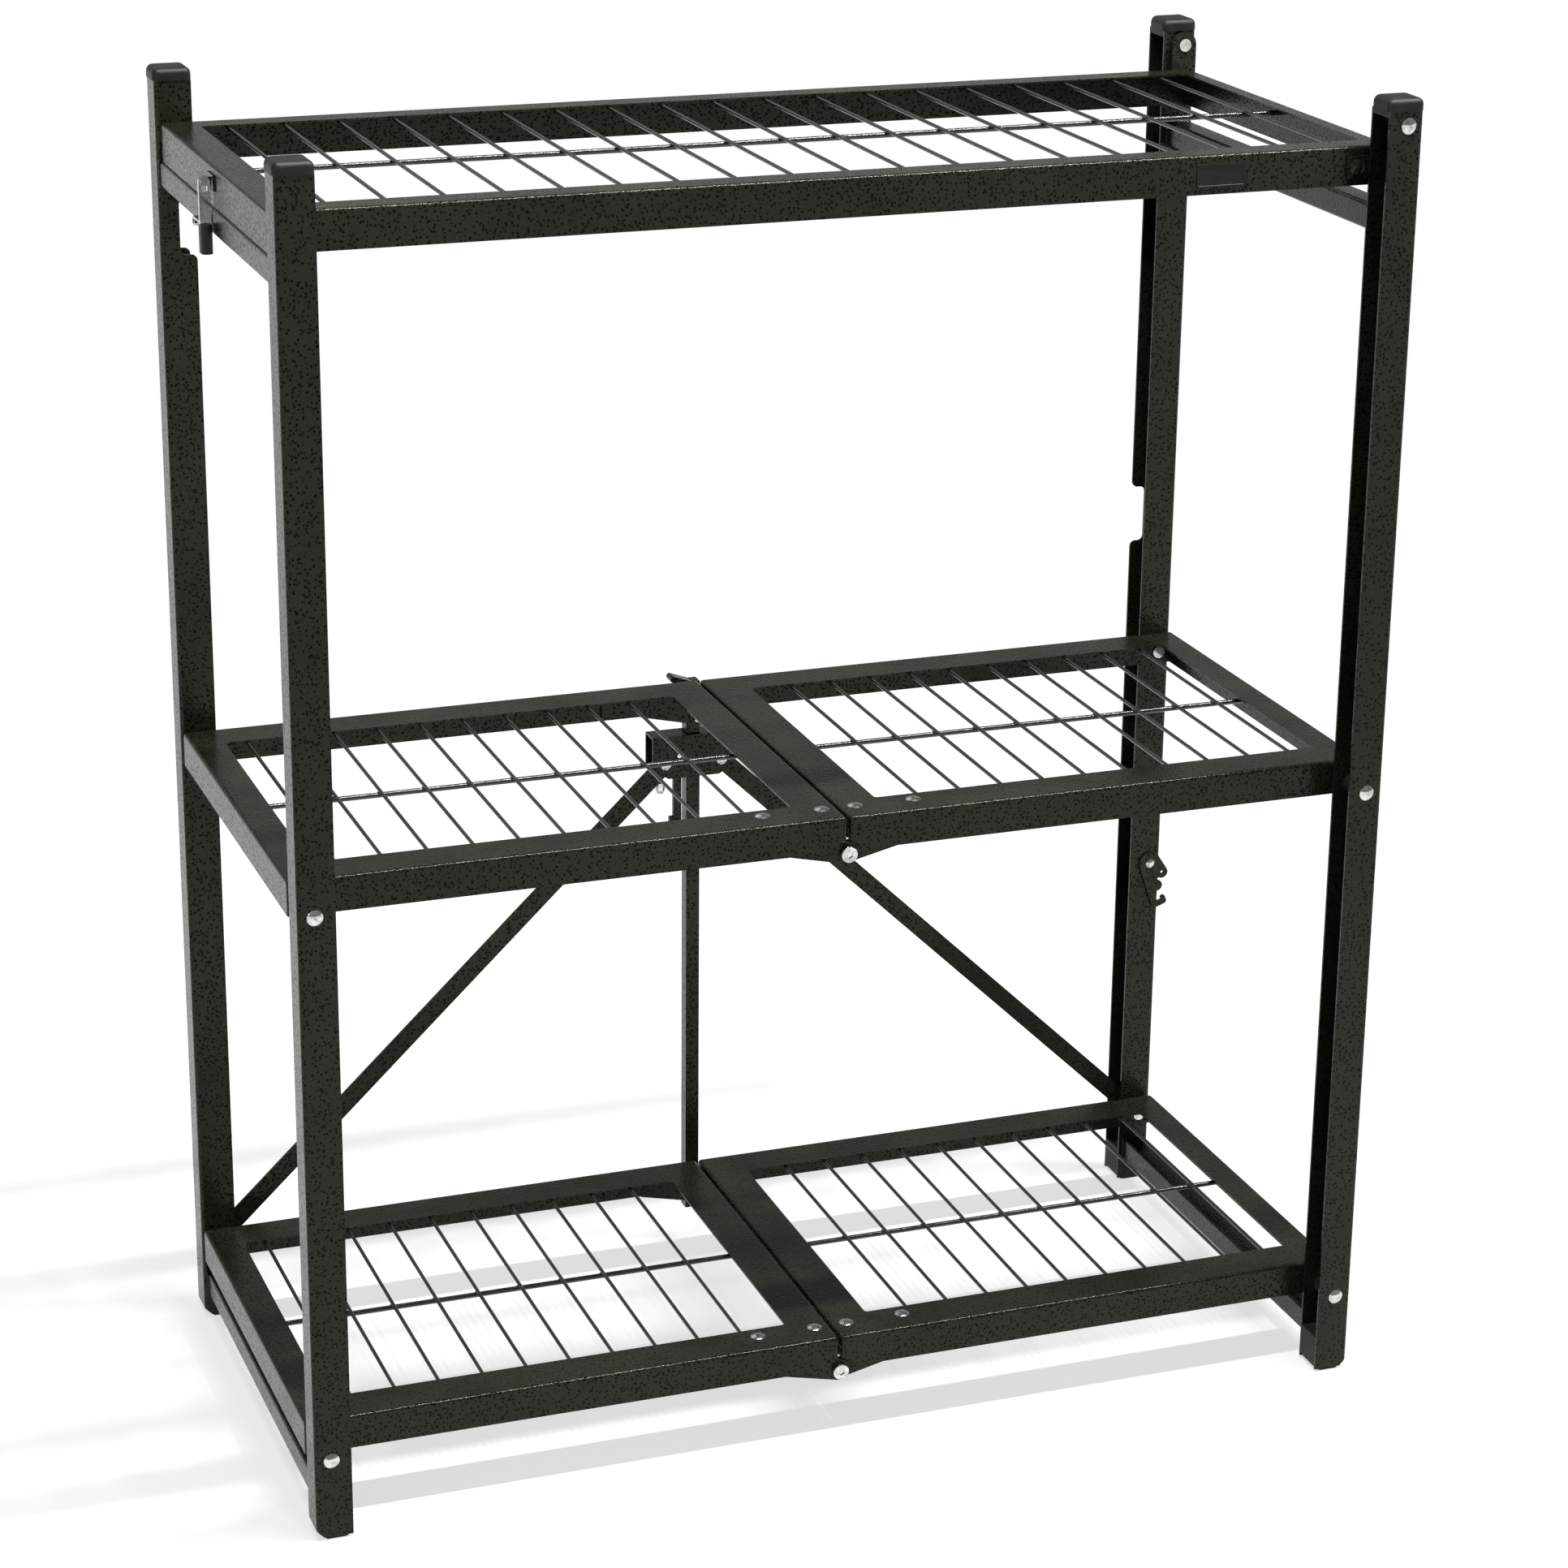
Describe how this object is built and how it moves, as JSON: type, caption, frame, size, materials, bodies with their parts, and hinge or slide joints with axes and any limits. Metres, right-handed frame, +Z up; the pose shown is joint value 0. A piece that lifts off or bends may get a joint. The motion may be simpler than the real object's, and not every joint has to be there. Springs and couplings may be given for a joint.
{
  "type": "folding shoe rack",
  "caption": "Free-standing folding steel rack with wire shelves between channel posts; the shelves break at the middle and the top shelf lifts so the sides close flat.",
  "frame": {"origin": "on the floor below the middle of the rack", "axes": "+X along the shelves to the right, +Y to the back, +Z up"},
  "size_m": [0.7494, 0.36, 0.89],
  "materials": {
    "hammer_coat": "speckled semi-gloss powder coat",
    "coated_wire": "semi-gloss powder coat",
    "zinc": "bright zinc plate",
    "cap_plastic": "satin",
    "foot_plastic": "satin"
  },
  "bodies": {
    "right_side": {"right_front_post": "hammer_coat", "right_back_post": "hammer_coat", "right_caps": "cap_plastic", "right_feet": "foot_plastic", "right_low_tube": "hammer_coat", "right_high_tube": "hammer_coat", "right_pivot_pins": "zinc", "right_spacers": "cap_plastic", "hook_rivet": "zinc"},
    "left_side": {"left_front_post": "hammer_coat", "left_back_post": "hammer_coat", "left_caps": "cap_plastic", "left_feet": "foot_plastic", "left_low_tube": "hammer_coat", "left_high_tube": "hammer_coat", "left_pivot_pins": "zinc", "left_spacers": "cap_plastic", "latch_stud": "zinc"},
    "mid_right": {"mid_right_tray": "hammer_coat", "mid_right_wires": "coated_wire", "mid_right_hinge_brackets": "hammer_coat", "mid_right_rivets": "zinc", "mid_hinge_bolts": "zinc"},
    "mid_left": {"mid_left_tray": "hammer_coat", "mid_left_wires": "coated_wire", "mid_left_hinge_brackets": "hammer_coat", "mid_left_rivets": "zinc"},
    "low_right": {"low_right_tray": "hammer_coat", "low_right_wires": "coated_wire", "low_right_hinge_brackets": "hammer_coat", "low_right_rivets": "zinc", "low_hinge_bolts": "zinc"},
    "low_left": {"low_left_tray": "hammer_coat", "low_left_wires": "coated_wire", "low_left_hinge_brackets": "hammer_coat", "low_left_rivets": "zinc"},
    "top_shelf": {"top_tray": "hammer_coat", "top_wires": "coated_wire", "top_ears": "hammer_coat", "top_ear_rivets": "hammer_coat", "latch_bracket": "hammer_coat", "latch_rod": "zinc"},
    "end_latch": {"latch_strap": "zinc", "latch_pull": "hammer_coat"},
    "stay": {"stay_bar": "hammer_coat"},
    "slider": {"slider_bracket": "hammer_coat", "slider_rivets": "zinc", "slider_plunger": "zinc", "lever_pin": "zinc"},
    "lock": {"lock_lever": "hammer_coat"},
    "brace_left": {"left_brace": "hammer_coat"},
    "brace_right": {"right_brace": "hammer_coat"},
    "hook": {"side_hook": "hammer_coat"}
  },
  "joints": [
    {"name": "fold", "type": "hinge", "parent": "right_side", "child": "mid_right", "pos_m": [0.3575, 0, 0.428], "axis": [0, 1, 0], "range_deg": [0, 87]},
    {"name": "mid_centre_hinge", "type": "hinge", "parent": "mid_right", "child": "mid_left", "pos_m": [0, 0, 0.4175], "axis": [0, 1, 0], "range_deg": [-174, 0]},
    {"name": "left_mid_pivot", "type": "hinge", "parent": "mid_left", "child": "left_side", "pos_m": [-0.3575, 0, 0.428], "axis": [0, 1, 0], "range_deg": [0, 87]},
    {"name": "low_right_pivot", "type": "hinge", "parent": "right_side", "child": "low_right", "pos_m": [0.3575, 0, 0.0565], "axis": [0, 1, 0], "range_deg": [0, 87]},
    {"name": "low_centre_hinge", "type": "hinge", "parent": "low_right", "child": "low_left", "pos_m": [0, 0, 0.046], "axis": [0, 1, 0], "range_deg": [-174, 0]},
    {"name": "stay_pivot", "type": "hinge", "parent": "mid_right", "child": "stay", "pos_m": [0, 0.165, 0.4175], "axis": [0, 1, 0], "range_deg": [-87, 0]},
    {"name": "slider_slide", "type": "slide", "parent": "stay", "child": "slider", "axis": [0, 0, 1], "range_m": [-0.2232, 0]},
    {"name": "right_brace_pivot", "type": "hinge", "parent": "right_side", "child": "brace_right", "pos_m": [0.3575, 0.16, 0.0565], "axis": [0, 1, 0], "range_deg": [0, 45.3]},
    {"name": "left_brace_pivot", "type": "hinge", "parent": "left_side", "child": "brace_left", "pos_m": [-0.3575, 0.16, 0.0565], "axis": [0, 1, 0], "range_deg": [-45.3, 0]},
    {"name": "top_lift", "type": "hinge", "parent": "right_side", "child": "top_shelf", "pos_m": [0.3585, 0, 0.8725], "axis": [0, 1, 0], "range_deg": [0, 270]},
    {"name": "latch_swing", "type": "hinge", "parent": "top_shelf", "child": "end_latch", "pos_m": [-0.3711, 0, 0.846], "axis": [0, 1, 0], "range_deg": [0, 60]},
    {"name": "lock_swing", "type": "hinge", "parent": "slider", "child": "lock", "pos_m": [-0.011, 0.1635, 0.384], "axis": [0, 1, 0], "range_deg": [0, 20]},
    {"name": "hook_swing", "type": "hinge", "parent": "right_side", "child": "hook", "pos_m": [0.36, 0.1529, 0.26], "axis": [0, 1, 0], "range_deg": [-25, 25]}
  ],
  "couplings": [
    {"joint": "mid_centre_hinge", "follows": "fold", "ratio": -2},
    {"joint": "left_mid_pivot", "follows": "fold", "ratio": 1},
    {"joint": "low_right_pivot", "follows": "fold", "ratio": 1},
    {"joint": "low_centre_hinge", "follows": "fold", "ratio": -2},
    {"joint": "stay_pivot", "follows": "fold", "ratio": -1},
    {"joint": "slider_slide", "follows": "fold", "m_per_rad": -0.14695},
    {"joint": "right_brace_pivot", "follows": "fold", "ratio": 0.52065},
    {"joint": "left_brace_pivot", "follows": "fold", "ratio": -0.52065},
    {"joint": "top_lift", "follows": "fold", "ratio": 3.1034}
  ]
}
